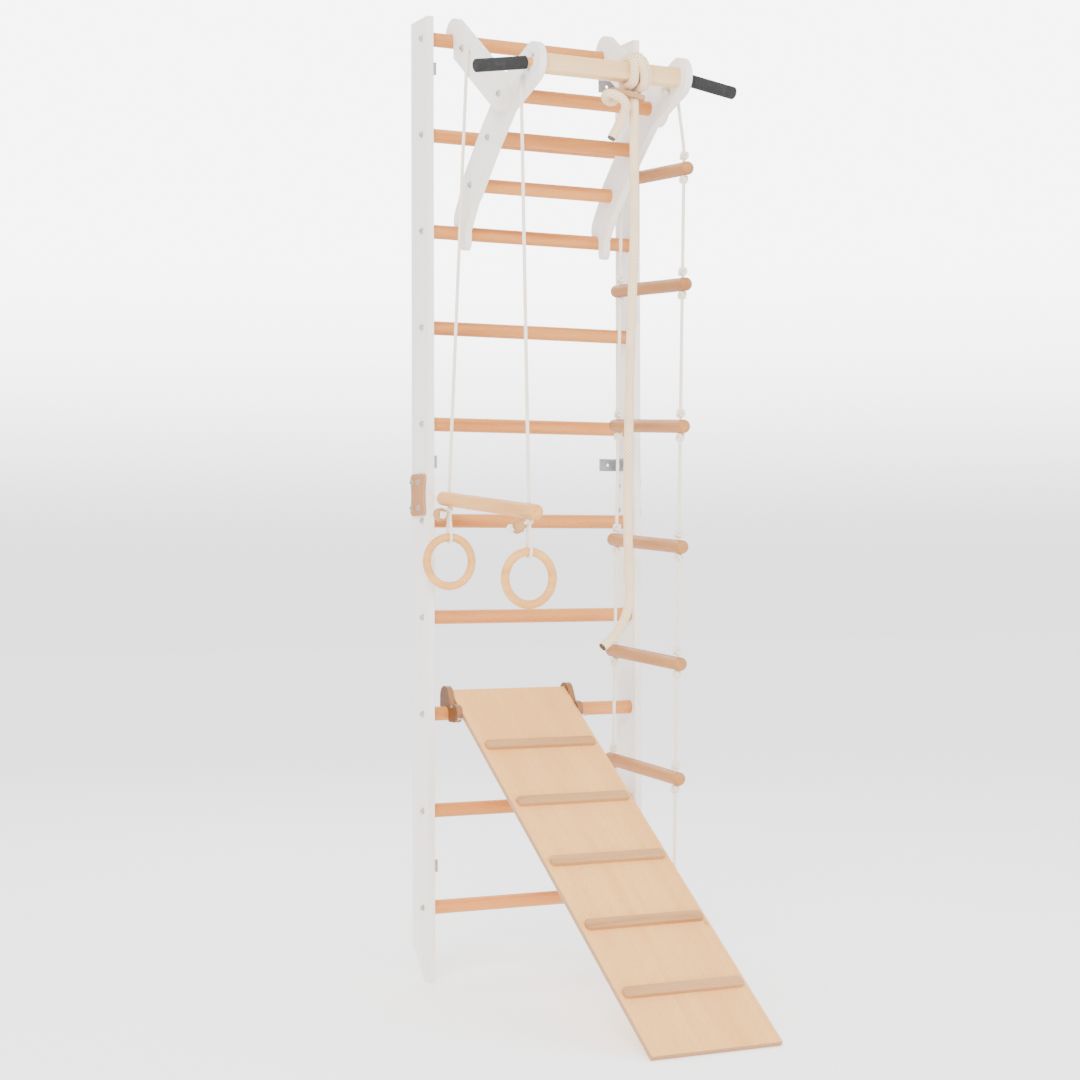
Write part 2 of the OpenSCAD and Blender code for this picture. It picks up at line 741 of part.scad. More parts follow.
rail(-1, true);  // rail_left_lower
rail(-1, false);  // rail_left_upper
rail(1, true);  // rail_right_lower
rail(1, false);  // rail_right_upper
splice_plates();
splice_bolts();
wall_rung(1);  // wall_rung_1
wall_rung(2);  // wall_rung_2
wall_rung(3);  // wall_rung_3
wall_rung(4);  // wall_rung_4
wall_rung(5);  // wall_rung_5
wall_rung(6);  // wall_rung_6
wall_rung(7);  // wall_rung_7
wall_rung(8);  // wall_rung_8
wall_rung(9);  // wall_rung_9
wall_rung(10);  // wall_rung_10
rung_bolts();
wall_brackets();
bracket_screws();
upper_arm(-1);  // upper_arm_left
upper_arm(1);  // upper_arm_right
lower_arm(-1);  // lower_arm_left
lower_arm(1);  // lower_arm_right
frame_rung(arm_knee);  // frame_rung_upper
frame_rung(arm_mid);  // frame_rung_middle
frame_rung(arm_low);  // frame_rung_lower
arm_bolts();
pull_up_bar();
rope_anchors();
grip_core(-1);  // grip_core_left
grip_core(1);  // grip_core_right
grip_foam(-1);  // grip_foam_left
grip_foam(1);  // grip_foam_right
slide_board();
slide_cleats();
slide_hook(-1);  // slide_hook_left
slide_hook(1);  // slide_hook_right
slide_screws();
trapeze_bar();
trapeze_ropes();
trapeze_knots();
trapeze_beads();
ring_loop(0);  // ring_loop_back
ring_loop(1);  // ring_loop_front
ring(0);  // ring_back
ring(1);  // ring_front
ladder_rung(1);  // ladder_rung_1
ladder_rung(2);  // ladder_rung_2
ladder_rung(3);  // ladder_rung_3
ladder_rung(4);  // ladder_rung_4
ladder_rung(5);  // ladder_rung_5
ladder_rung(6);  // ladder_rung_6
ladder_rung(7);  // ladder_rung_7
ladder_ropes();
ladder_knots();
climbing_rope();
climbing_rope_tail();
rope_wrap();
rope_adjuster();
rope_end_caps();
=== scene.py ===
import math

import bpy
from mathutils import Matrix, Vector


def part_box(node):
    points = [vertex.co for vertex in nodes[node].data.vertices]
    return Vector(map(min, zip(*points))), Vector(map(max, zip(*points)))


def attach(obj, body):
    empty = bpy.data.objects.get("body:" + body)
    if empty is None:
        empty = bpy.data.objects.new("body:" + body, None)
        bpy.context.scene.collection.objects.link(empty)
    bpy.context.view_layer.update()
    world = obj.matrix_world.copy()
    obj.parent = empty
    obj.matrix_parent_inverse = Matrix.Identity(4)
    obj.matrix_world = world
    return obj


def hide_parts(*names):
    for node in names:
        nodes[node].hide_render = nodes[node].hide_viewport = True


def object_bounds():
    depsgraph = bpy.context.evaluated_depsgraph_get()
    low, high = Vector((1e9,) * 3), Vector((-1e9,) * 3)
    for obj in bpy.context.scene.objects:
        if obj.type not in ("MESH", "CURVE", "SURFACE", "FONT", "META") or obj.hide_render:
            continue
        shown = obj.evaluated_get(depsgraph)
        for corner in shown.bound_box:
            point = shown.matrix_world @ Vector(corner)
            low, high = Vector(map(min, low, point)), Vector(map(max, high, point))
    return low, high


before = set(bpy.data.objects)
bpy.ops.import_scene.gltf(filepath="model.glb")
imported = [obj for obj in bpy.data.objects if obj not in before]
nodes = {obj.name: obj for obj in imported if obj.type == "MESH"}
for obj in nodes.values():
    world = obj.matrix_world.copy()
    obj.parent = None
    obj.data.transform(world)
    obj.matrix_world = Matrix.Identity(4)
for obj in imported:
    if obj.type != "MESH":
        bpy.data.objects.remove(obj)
cad_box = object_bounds()

BACK = cad_box[1].y            # the wall plane
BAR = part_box("pull_up_bar")    # the square bar's box
BAR_Y = (BAR[0].y + BAR[1].y) / 2
BAR_Z = (BAR[0].z + BAR[1].z) / 2
SLIDE_SLOPE = math.radians(34.5)
UPPER_ARM_SLOPE, LOWER_ARM_SLOPE = math.radians(-36), math.radians(45)
QUARTER = math.pi / 2


# ---- camera ---------------------------------------------------------------

def add_camera():
    """Looks at the wall from the front left, level with the middle of the frame."""
    yaw, pitch, roll = 0.4586, 0.0097, -0.0023
    place = Vector((-2.4455, BACK - 5.0717, 1.0385))
    forward = Vector((math.sin(yaw) * math.cos(pitch), math.cos(yaw) * math.cos(pitch),
                      math.sin(pitch)))
    right = Vector((math.cos(yaw), -math.sin(yaw), 0))
    up = right.cross(forward)
    across = math.cos(roll) * right + math.sin(roll) * up
    upward = math.cos(roll) * up - math.sin(roll) * right
    data = bpy.data.cameras.new("camera")
    data.lens, data.sensor_width = 73.0, 36.0
    data.clip_end = 60
    camera = bpy.data.objects.new("camera", data)
    bpy.context.scene.collection.objects.link(camera)
    turn = camera.matrix_world.copy()
    for row in range(3):
        turn[row][0], turn[row][1], turn[row][2] = across[row], upward[row], -forward[row]
    turn.translation = place
    camera.matrix_world = turn
    bpy.context.scene.camera = camera


# ---- rope geometry --------------------------------------------------------

def spaced(points, step):
    """The same line with a point every step, still through its two ends."""
    points = [Vector(p) for p in points]
    lengths = [(b - a).length for a, b in zip(points, points[1:])]
    total = sum(lengths)
    count = max(2, round(total / step))
    line, i, done = [points[0]], 0, 0.0
    for k in range(1, count):
        at = total * k / count
        while done + lengths[i] < at:
            done += lengths[i]
            i += 1
        line.append(points[i].lerp(points[i + 1], (at - done) / lengths[i]))
    return line + [points[-1]]


def softened(line, passes):
    """Rounds the corners of a line, and keeps its ends."""
    for _ in range(passes):
        line = [line[0]] + [(a + 2 * b + c) / 4 for a, b, c in zip(line, line[1:], line[2:])] \
            + [line[-1]]
    return line


def frames_along(line):
    """A tangent and two cross directions at each point, which don't spin along the line."""
    tangents = [(line[min(i + 1, len(line) - 1)] - line[max(i - 1, 0)]).normalized()
                for i in range(len(line))]
    side = tangents[0].orthogonal().normalized()
    made = []
    for t in tangents:
        side = (side - t * side.dot(t)).normalized()
        made.append((t, side, t.cross(side)))
    return made


def add_rope(mesh, line, radius, sides):
    """Adds one closed rope along the line to the lists in mesh, with its turn and run as UVs."""
    verts, faces, uvs = mesh
    base, run = len(verts), [0.0]
    for a, b in zip(line, line[1:]):
        run.append(run[-1] + (b - a).length)
    frames = frames_along(line)
    for p, (_, u, v) in zip(line, frames):
        for k in range(sides):
            turn = 2 * math.pi * k / sides
            verts.append(p + radius * (math.cos(turn) * u + math.sin(turn) * v))
    for i in range(len(line) - 1):
        for k in range(sides):
            a, b = base + i * sides + k, base + i * sides + (k + 1) % sides
            faces.append((a, b, b + sides, a + sides))
            left, right = k / sides, (k + 1) / sides
            uvs += [(left, run[i]), (right, run[i]), (right, run[i + 1]), (left, run[i + 1])]
    for i, sign in ((0, -1), (len(line) - 1, 1)):
        verts.append(line[i] + sign * frames[i][0] * radius * 0.25)
        tip, first = len(verts) - 1, base + i * sides
        for k in range(sides):
            pair = (first + k, first + (k + 1) % sides)
            faces.append((tip, *(pair if sign > 0 else pair[::-1])))
            uvs += [(k / sides, run[i])] * 3


def rope_piece(name, body, replaced, ropes, material):
    """One piece made of several ropes, each (line, radius, sides)."""
    lists = ([], [], [])
    for line, radius, sides in ropes:
        add_rope(lists, line, radius, sides)
    verts, faces, uvs = lists
    data = bpy.data.meshes.new(name)
    data.from_pydata(verts, [], faces)
    layer = data.uv_layers.new(name="UVMap")
    layer.data.foreach_set("uv", [value for uv in uvs for value in uv])
    data.polygons.foreach_set("use_smooth", [True] * len(data.polygons))
    data.materials.append(material)
    piece = bpy.data.objects.new(name, data)
    bpy.context.scene.collection.objects.link(piece)
    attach(piece, body)
    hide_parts(*replaced)
    return piece


def knot_line(centre, axis, size, radius, flip, height):
    """A tight overhand knot round the axis: a trefoil that reaches size from its centre."""
    axis = Vector(axis).normalized()
    u = axis.orthogonal().normalized()
    v = axis.cross(u) * flip
    s = (size - radius) / 3
    line = []
    for k in range(49):
        a = 2 * math.pi * k / 48
        line.append(Vector(centre) + s * ((math.sin(a) + 2 * math.sin(2 * a)) * u
                    + (math.cos(a) - 2 * math.cos(2 * a)) * v) - height * s * math.sin(3 * a) * axis)
    return line


# ---- material building blocks --------------------------------------------

class Look:
    """A material under construction: its nodes, its shader and short ways to join them."""

    def __init__(self, name, roughness=0.5, metallic=0.0):
        self.material = bpy.data.materials.new(name)
        self.material.use_nodes = True
        self.tree = self.material.node_tree
        self.shader = self.tree.nodes["Principled BSDF"]
        self.shader.inputs["Roughness"].default_value = roughness
        self.shader.inputs["Metallic"].default_value = metallic
        self.shader.inputs["Specular IOR Level"].default_value = 0.3
        self.place = self.tree.nodes.new("ShaderNodeTexCoord")

    def add(self, kind, inputs=(), **settings):
        """A new node with its settings, and its sockets linked or set."""
        node = self.tree.nodes.new(kind)
        for key, value in settings.items():
            setattr(node, key, value)
        for socket, value in dict(inputs).items():
            target = node.inputs[socket]
            if isinstance(value, bpy.types.NodeSocket):
                self.tree.links.new(value, target)
            else:
                target.default_value = value
        return node

    def mapped(self, turn=(0, 0, 0), stretch=(1, 1, 1), shift=(0, 0, 0)):
        """Object coordinates, turned first and stretched second."""
        turned = self.add("ShaderNodeMapping", {"Vector": self.place.outputs["Object"],
                          "Rotation": turn, "Location": shift})
        return self.add("ShaderNodeMapping", {"Vector": turned.outputs[0],
                        "Scale": stretch}).outputs[0]

    def noise(self, where, scale, detail=4.0, rough=0.55, distortion=0.0):
        return self.add("ShaderNodeTexNoise", {"Vector": where, "Scale": scale, "Detail": detail,
                        "Roughness": rough, "Distortion": distortion}).outputs["Fac"]

    def ramp(self, value, *stops):
        """A colour or grey ramp with stops (position, grey or colour)."""
        node = self.add("ShaderNodeValToRGB", {"Fac": value})
        while len(node.color_ramp.elements) < len(stops):
            node.color_ramp.elements.new(0.5)
        for element, (at, tone) in zip(node.color_ramp.elements, stops):
            element.position = at
            element.color = (*tone, 1) if isinstance(tone, tuple) else (tone, tone, tone, 1)
        return node.outputs["Color"]

    def mix(self, factor, a, b):
        """A colour or grey that goes from a to b."""
        node = self.add("ShaderNodeMix", data_type="RGBA")
        for socket, value in ((0, factor), (6, a), (7, b)):
            if isinstance(value, bpy.types.NodeSocket):
                self.tree.links.new(value, node.inputs[socket])
            elif isinstance(value, tuple):
                node.inputs[socket].default_value = (*value, 1)
            else:
                node.inputs[socket].default_value = value
        return node.outputs[2]

    def maths(self, operation, a, b=0.0):
        return self.add("ShaderNodeMath", {0: a, 1: b}, operation=operation).outputs[0]

    def spread(self, value, low, high, out_low, out_high):
        """The value taken from one range to another, and held at its ends."""
        return self.add("ShaderNodeMapRange", {0: value, 1: low, 2: high, 3: out_low,
                        4: out_high}).outputs[0]

    def along(self, axis):
        """Distance along a direction in object space, and how squarely a face looks that way."""
        place = self.add("ShaderNodeVectorMath", {0: self.place.outputs["Object"], 1: axis},
                         operation="DOT_PRODUCT").outputs["Value"]
        facing = self.add("ShaderNodeVectorMath", {0: self.place.outputs["Normal"], 1: axis},
                          operation="DOT_PRODUCT").outputs["Value"]
        return place, self.maths("ABSOLUTE", facing)

    def finish(self, colour, bump=None, strength=0.2, distance=0.001, edge=0.0015, roughness=None):
        """Joins colour, roughness and bump to the shader, over softly rounded edges."""
        links = self.tree.links
        links.new(colour, self.shader.inputs["Base Color"])
        if roughness is not None:
            links.new(roughness, self.shader.inputs["Roughness"])
        normal = None
        if edge:
            normal = self.add("ShaderNodeBevel", {"Radius": edge}, samples=4).outputs[0]
        if bump is not None:
            node = self.add("ShaderNodeBump", {"Strength": strength, "Distance": distance,
                            "Height": bump})
            if normal is not None:
                links.new(normal, node.inputs["Normal"])
            normal = node.outputs[0]
        if normal is not None:
            links.new(normal, self.shader.inputs["Normal"])
        return self.material


# light, middle and dark tone of each bare wood, and light and dark plies of an edge
RUNG = ((0.67, 0.285, 0.076), (0.58, 0.222, 0.050), (0.38, 0.115, 0.020))
PALE = ((0.80, 0.43, 0.135), (0.73, 0.36, 0.096), (0.54, 0.21, 0.046))
CLEAT = ((0.55, 0.295, 0.12), (0.47, 0.24, 0.09), (0.30, 0.125, 0.038))
LADDER = ((0.47, 0.21, 0.068), (0.39, 0.163, 0.045), (0.25, 0.09, 0.022))
BAR_WOOD = ((0.88, 0.63, 0.33), (0.83, 0.57, 0.28), (0.66, 0.41, 0.18))
BIRCH = ((0.86, 0.455, 0.15), (0.79, 0.385, 0.11), (0.38, 0.15, 0.04))
ADJUSTER = ((0.396, 0.198, 0.084), (0.324, 0.156, 0.06), (0.168, 0.072, 0.0264))
SPLICE = ((0.42, 0.18, 0.062), (0.35, 0.142, 0.044), (0.18, 0.062, 0.018))
# the hooks' brown ply made darker still, as painted shade for the shade the hooks sit in; their edge
# plies are darkened to match
HOOK_SHADED = ((0.15, 0.060, 0.019), (0.12, 0.044, 0.012), (0.06, 0.021, 0.005))
PLY_EDGE = ((0.62, 0.35, 0.16), (0.24, 0.11, 0.045))
HOOK_EDGE_SHADED = ((0.34, 0.16, 0.065), (0.17, 0.07, 0.026))
# how a grain that runs along X is turned: onto Z, onto Y
UPRIGHT = (0, QUARTER, 0)
DEEP = (0, 0, -QUARTER)


def grain_parts(look, turn, seed):
    """Streaks, growth bands and short flecks of a board whose grain runs along its own X."""
    shift = (seed * 1.37 % 5, seed * 2.11 % 5, seed * 3.53 % 5)
    fine = look.noise(look.mapped(turn, (5, 170, 170), shift), 1.0, 5, 0.6)
    broad = look.noise(look.mapped(turn, (1.3, 22, 22), shift), 1.0, 4, 0.5, 0.6)
    flecks = look.noise(look.mapped(turn, (90, 520, 520), shift), 1.0, 2, 0.5)
    return fine, broad, flecks


def solid_wood(name, light, mid, dark, turn=(0, 0, 0), seed=1, flecked=0.5, roughness=0.42):
    """Turned or planed beech: streaks along the grain, soft bands and small dark flecks."""
    look = Look(name, roughness)
    fine, broad, flecks = grain_parts(look, turn, seed)
    tone = look.ramp(broad, (0.28, dark), (0.5, mid), (0.72, light))
    tone = look.mix(look.spread(fine, 0.35, 0.7, 0.0, 0.5), tone, mid)
    tone = look.mix(look.spread(flecks, 0.58, 0.72, 0.0, flecked), tone, dark)
    rough = look.spread(fine, 0.3, 0.7, roughness - 0.05, roughness + 0.1)
    return look.finish(tone, look.mix(0.4, fine, flecks), 0.12, 0.0006, roughness=rough)


def painted_ply(name, turn, seed):
    """White painted plywood: faint grain under the paint, plies just showing on the edges."""
    look = Look(name, 0.42)
    fine, broad, _ = grain_parts(look, turn, seed)
    tone = look.ramp(broad, (0.3, (0.83, 0.78, 0.725)), (0.7, (0.89, 0.85, 0.80)))
    scuffs = look.noise(look.mapped(turn, (9, 14, 14)), 1.0, 8, 0.7)
    tone = look.mix(look.spread(scuffs, 0.60, 0.78, 0.0, 0.35), tone, (0.70, 0.64, 0.58))
    place, facing = look.along((1, 0, 0))
    plies = look.maths("SINE", look.maths("MULTIPLY", place, 2 * math.pi / 0.0028))
    on_edge = look.spread(facing, 0.3, 0.7, 1.0, 0.0)
    lines = look.maths("MULTIPLY", look.spread(plies, 0.1, 0.9, 0.0, 0.30), on_edge)
    tone = look.mix(lines, tone, (0.66, 0.53, 0.40))
    return look.finish(tone, look.mix(0.3, fine, plies), 0.08, 0.0005)


def bare_ply(name, light, mid, dark, normal, turn, seed, knots=0.0, edge=PLY_EDGE):
    """Lacquered plywood: a veneer's wide soft figure, pores, and light and dark plies on edges."""
    look = Look(name, 0.46)
    fine, broad, flecks = grain_parts(look, turn, seed)
    figure = look.noise(look.mapped(turn, (1.6, 5.5, 5.5), (seed, 0.3, 0.7)), 1.0, 3, 0.45, 0.8)
    bands = look.maths("SINE", look.maths("MULTIPLY", figure, 70.0))
    tone = look.ramp(broad, (0.3, mid), (0.7, light))
    tone = look.mix(look.spread(bands, 0.3, 1.0, 0.0, 0.22), tone, mid)
    tone = look.mix(look.spread(fine, 0.5, 0.8, 0.0, 0.18), tone, dark)
    tone = look.mix(look.spread(flecks, 0.55, 0.7, 0.0, 0.28), tone, dark)
    if knots:
        cells = look.add("ShaderNodeTexVoronoi", {"Vector": look.mapped(turn, (4.2, 7.5, 7.5),
                         (0.31, 0.17, 0.05)), "Scale": 1.0})
        rare = look.maths("GREATER_THAN", look.add("ShaderNodeSeparateXYZ",
                          {0: cells.outputs["Color"]}).outputs[0], 0.5)
        spot = look.spread(cells.outputs["Distance"], 0.02, 0.06, knots, 0.0)
        tone = look.mix(look.maths("MULTIPLY", spot, rare), tone, dark)
    place, facing = look.along(normal)
    plies = look.maths("SINE", look.maths("MULTIPLY", place, 2 * math.pi / 0.003))
    layers = look.ramp(look.spread(plies, -0.5, 0.5, 0.0, 1.0), (0.0, edge[1]), (1.0, edge[0]))
    tone = look.mix(look.spread(facing, 0.3, 0.7, 1.0, 0.0), tone, layers)
    return look.finish(tone, look.mix(0.4, fine, flecks), 0.12, 0.0006)


def zinc_steel(name, tone=(0.42, 0.43, 0.44)):
    """Zinc-plated steel with a fine brushed haze and duller patches."""
    look = Look(name, 0.38, 1.0)
    haze = look.noise(look.mapped(stretch=(60, 60, 900)), 1.0, 4)
    patches = look.noise(look.place.outputs["Object"], 90.0, 5)
    darker = tuple(0.55 * c for c in tone)
    colour = look.mix(look.spread(patches, 0.4, 0.7, 0.0, 0.6), tone, darker)
    rough = look.spread(haze, 0.3, 0.7, 0.3, 0.5)
    return look.finish(colour, haze, 0.1, 0.0003, edge=0.0006, roughness=rough)


def closed_foam(name):
    """Dense black foam: a skin with small closed cells and a few lighter rubs."""
    look = Look(name, 0.82)
    cells = look.add("ShaderNodeTexVoronoi", {"Vector": look.place.outputs["Object"],
                     "Scale": 900.0}).outputs["Distance"]
    rubs = look.noise(look.place.outputs["Object"], 38.0, 6, 0.7)
    colour = look.mix(look.spread(rubs, 0.5, 0.8, 0.0, 0.5), (0.017, 0.017, 0.018),
                      (0.055, 0.054, 0.052))
    return look.finish(colour, cells, 0.35, 0.0006, edge=0.002)


def rope_fibre(name, light, groove_shade_and_soil, strands, lay):
    """A braided cover: two families of strands that cross, with painted shade in the grooves between
    them, yarn lines and a little soil.
    """
    look = Look(name, 0.75)
    where = look.add("ShaderNodeSeparateXYZ", {0: look.place.outputs["UV"]})
    turn = look.maths("MULTIPLY", where.outputs[0], 2 * math.pi * strands)
    run = look.maths("MULTIPLY", where.outputs[1], 2 * math.pi / lay)
    one = look.maths("SINE", look.maths("ADD", turn, run))
    two = look.maths("SINE", look.maths("SUBTRACT", turn, run))
    braid = look.spread(look.maths("MAXIMUM", one, two), -0.2, 0.95, 0.0, 1.0)
    yarn = look.noise(look.mapped(stretch=(2400, 2400, 700)), 1.0, 3)
    soil = look.noise(look.place.outputs["Object"], 14.0, 5)
    # painted shade: the grooves between the strands go to the darker colour; the soil and yarn lines
    # below use the same colour
    tone = look.mix(look.spread(braid, 0.0, 0.6, 0.75, 0.0), light, groove_shade_and_soil)
    tone = look.mix(look.spread(soil, 0.45, 0.8, 0.0, 0.3), tone, groove_shade_and_soil)
    tone = look.mix(look.spread(yarn, 0.55, 0.8, 0.0, 0.25), tone, groove_shade_and_soil)
    look.shader.inputs["Sheen Weight"].default_value = 0.2
    look.shader.inputs["Sheen Roughness"].default_value = 0.5
    return look.finish(tone, look.mix(0.2, braid, yarn), 0.5, 0.0009, edge=0)


# ---- materials on the CAD nodes ------------------------------------------

def paint(material, *names):
    """Gives the CAD nodes this material alone."""
    for name in names:
        data = nodes[name].data
        data.materials.clear()
        data.materials.append(material)


def shade(tones, amount):
    """The same three tones, a little lighter or darker, so that no two rods are alike."""
    return [tuple(c * amount for c in tone) for tone in tones]


def paint_wall_frame():
    for i, side in enumerate(("left", "right")):
        paint(painted_ply(f"rail_{side}_low_paint", UPRIGHT, 3 + i), f"rail_{side}_lower")
        paint(painted_ply(f"rail_{side}_up_paint", UPRIGHT, 7 + i), f"rail_{side}_upper")
    for i in range(1, 11):
        tones = shade(RUNG, 1.0 + 0.07 * math.sin(2.4 * i))
        paint(solid_wood(f"wall_rung_{i}_beech", *tones, seed=i), f"wall_rung_{i}")
    paint(bare_ply("splice_ply", *SPLICE, (1, 0, 0), UPRIGHT, 5), "splice_plates")
    paint(zinc_steel("bracket_zinc"), "wall_brackets", "bracket_screws")
    paint(zinc_steel("bolt_zinc", (0.62, 0.58, 0.53)), "rung_bolts", "splice_bolts", "arm_bolts",
          "slide_screws")


def paint_pull_up_frame():
    for i, side in enumerate(("left", "right")):
        paint(painted_ply(f"upper_arm_{side}_paint", (UPPER_ARM_SLOPE, 0, -QUARTER), 11 + i),
              f"upper_arm_{side}")
        paint(painted_ply(f"lower_arm_{side}_paint", (LOWER_ARM_SLOPE, 0, -QUARTER), 14 + i),
              f"lower_arm_{side}")
        paint(solid_wood(f"grip_core_{side}_beech", *PALE, seed=21 + i), f"grip_core_{side}")
        paint(closed_foam(f"grip_{side}_foam"), f"grip_foam_{side}")
    for i, place in enumerate(("upper", "middle", "lower")):
        paint(solid_wood(f"frame_rung_{place}_beech", *shade(RUNG, 1.0 + 0.05 * i), seed=31 + i),
              f"frame_rung_{place}")
    paint(solid_wood("bar_wood", *BAR_WOOD, seed=41, flecked=0.25), "pull_up_bar")


def paint_slide():
    normal = (0, -math.sin(SLIDE_SLOPE), math.cos(SLIDE_SLOPE))
    paint(bare_ply("board_birch", *BIRCH, normal, (-SLIDE_SLOPE, 0, -QUARTER), 2, knots=0.75),
          "slide_board")
    paint(solid_wood("cleat_beech", *CLEAT, seed=51), "slide_cleats")
    # the hooks' ply colour is darkened as painted shade
    paint(bare_ply("hook_ply_shaded", *HOOK_SHADED, (1, 0, 0), UPRIGHT, 6, edge=HOOK_EDGE_SHADED),
          "slide_hook_left", "slide_hook_right")


def paint_hanging_parts():
    paint(solid_wood("trapeze_beech", *PALE, turn=DEEP, seed=61), "trapeze_bar")
    paint(solid_wood("ring_back_beech", *PALE, seed=62), "ring_back")
    paint(solid_wood("ring_front_beech", *PALE, seed=63), "ring_front")
    paint(solid_wood("bead_beech", *CLEAT, turn=UPRIGHT, seed=64), "trapeze_beads")
    for i in range(1, 8):
        tones = shade(LADDER, 1.06 - 0.04 * (i % 3))
        paint(solid_wood(f"ladder_rung_{i}_beech", *tones, turn=DEEP, seed=70 + i),
              f"ladder_rung_{i}")
    paint(bare_ply("adjuster_ply", *ADJUSTER, (0.29, 0, 0.96), (0, 0, 0), 8), "rope_adjuster")
    paint(zinc_steel("cap_steel", (0.09, 0.09, 0.09)), "rope_end_caps")


# ---- ropes ----------------------------------------------------------------

CLIMB_RADIUS, THIN_RADIUS, LOOP_RADIUS, KNOT_RADIUS = 0.011, 0.004, 0.0035, 0.0036
THICK_SIDES, THIN_SIDES, KNOT_SIDES = 28, 16, 12
TRAPEZE_DIAMETER, LADDER_DIAMETER = 0.035, 0.033
# X and Z of the climbing rope, and X, Y from the bar and Z of its tail, in millimetres
CLIMB_ROUTE = [(70, 2158), (70, 2100), (70, 2040), (70, 1980), (70, 1920), (70, 1850), (69, 1790),
               (66, 1730), (63, 1660), (60, 1590), (57, 1510), (55, 1430), (53, 1350), (51, 1270),
               (50, 1190), (50, 1110), (51, 1050), (54, 995), (55, 955), (51, 925), (40, 897),
               (22, 871), (2, 851), (-18, 836)]
TAIL_ROUTE = [(26, 0, 2163), (26, 1, 2147), (22, 9, 2134), (12, 17, 2133), (1, 15, 2139),
              (-6, 4, 2145), (-6, -10, 2147), (0, -22, 2144), (16, -27, 2138), (30, -27, 2128),
              (38, -19, 2115), (36, -9, 2100), (30, -4, 2084), (21, -1, 2065), (9, 0, 2044)]
# a thin rope leaves each arm at these distances from the middle, the wall and the floor
EXITS = [(0.2285, 0.184, 2.296), (0.2105, 0.450, 2.178)]
ARM_BACKS = [0.204, 0.186]          # the arms' inner faces, from the middle
LADDER_YS = [0.142, 0.460]          # the ladder's ropes, from the wall
LADDER_KNOTS = [(-0.027, -1), (0.031, 1)]   # height of a knot beside its rung, and its turn
# from the knot under the trapeze bar along each bead's short tail
BEAD_TAILS = {"back": [(-0.001, 0.004, -0.001), (-0.009, 0.016, -0.003), (-0.018, 0.021, -0.008),
                       (-0.025, 0.018, -0.012), (-0.025, 0.011, -0.012), (-0.025, -0.020, -0.012)],
              "front": [(-0.002, 0, -0.001), (-0.017, 0, -0.006), (-0.0455, 0, -0.016)]}


def add_free_rope(name, line, fibre):
    """A thick rope along a line, in place of the CAD part of the same name."""
    piece = rope_piece("braid_" + name, "hanging_rope", [name], [(line, CLIMB_RADIUS, THICK_SIDES)],
                       fibre)


def add_free_ropes(fibre):
    """The climbing rope and the short tail knotted below its adjuster."""
    main = [(x / 1000, BAR_Y, z / 1000) for x, z in CLIMB_ROUTE]
    tail = [(x / 1000, BAR_Y + y / 1000, z / 1000) for x, y, z in TAIL_ROUTE]
    add_free_rope("climbing_rope", softened(spaced(main, 0.003), 60), fibre)
    add_free_rope("climbing_rope_tail", softened(spaced(tail, 0.002), 12), fibre)


def around_bar(top, low, lift=0.0):
    """A turn of rope round the square bar, which moves from X top to X low across its front."""
    half = (BAR[1].z - BAR[0].z) / 2 + CLIMB_RADIUS + lift
    line = []
    for k in range(73):
        a = math.radians(5 * k - 45)
        y, z = math.cos(a), math.sin(a)
        square = Vector((0, y, z)) * (half / max(abs(y), abs(z)))
        place = square.lerp(Vector((0, y, z)) * (half - 0.001), 0.6)
        part = min(1.0, max(0.0, (5 * k - 120) / 150))
        x = top + (low - top) * part * part * (3 - 2 * part)
        line.append(Vector((x, BAR_Y + place.y, BAR_Z + place.z)))
    return line


def add_bar_hitch(fibre):
    """The climbing rope's turns on the pull-up bar: one straight, two slanting over it."""
    lo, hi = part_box("rope_wrap")
    near, far = lo.x + CLIMB_RADIUS + 0.004, hi.x - CLIMB_RADIUS + 0.003
    outward = 0.007    # how far the last turn lies on the other two
    turns = [around_bar(near, near), around_bar(near + 0.018, far),
             around_bar(near + 0.004, far - 0.012, outward)]
    rope_piece("hitch_on_bar", "pull_up_frame", ["rope_wrap"],
               [(line, CLIMB_RADIUS, THICK_SIDES) for line in turns], fibre)


def on_dowel(name, y, diameter):
    """The point on a hanging dowel's middle line at a given Y; its wall end is the higher one."""
    lo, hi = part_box(name)
    slope = (hi.z - lo.z - diameter) / (hi.y - lo.y)
    return Vector(((lo.x + hi.x) / 2, y, (lo.z + hi.z) / 2 + slope * (y - (lo.y + hi.y) / 2)))


def thin_rope(points, passes=6, radius=THIN_RADIUS):
    """A thin rope through the points, ready for rope_piece."""
    return softened(spaced(points, 0.0025), passes), radius, THIN_SIDES


def thin_knot(centre, axis, size, radius=THIN_RADIUS, flip=1, height=1.4):
    """A knot in a thin rope, ready for rope_piece."""
    return knot_line(centre, axis, size, radius, flip, height), radius, KNOT_SIDES


def add_arm_knots(fibre):
    """Each thin rope comes through its arm from a knot behind it."""
    ropes = []
    for side in (-1, 1):
        for (x, out, z), inner in zip(EXITS, ARM_BACKS):
            y = BACK - out
            ropes.append(thin_rope([(side * (inner - 0.01), y, z), (side * (x - 0.004), y, z),
                                    (side * x, y, z - 0.004)], 3))
            ropes.append(thin_knot((side * (inner - 0.0095), y, z), (1, 0, 0), 0.0125))
    rope_piece("knots_behind_arms", "pull_up_frame", ["rope_anchors"], ropes, fibre)


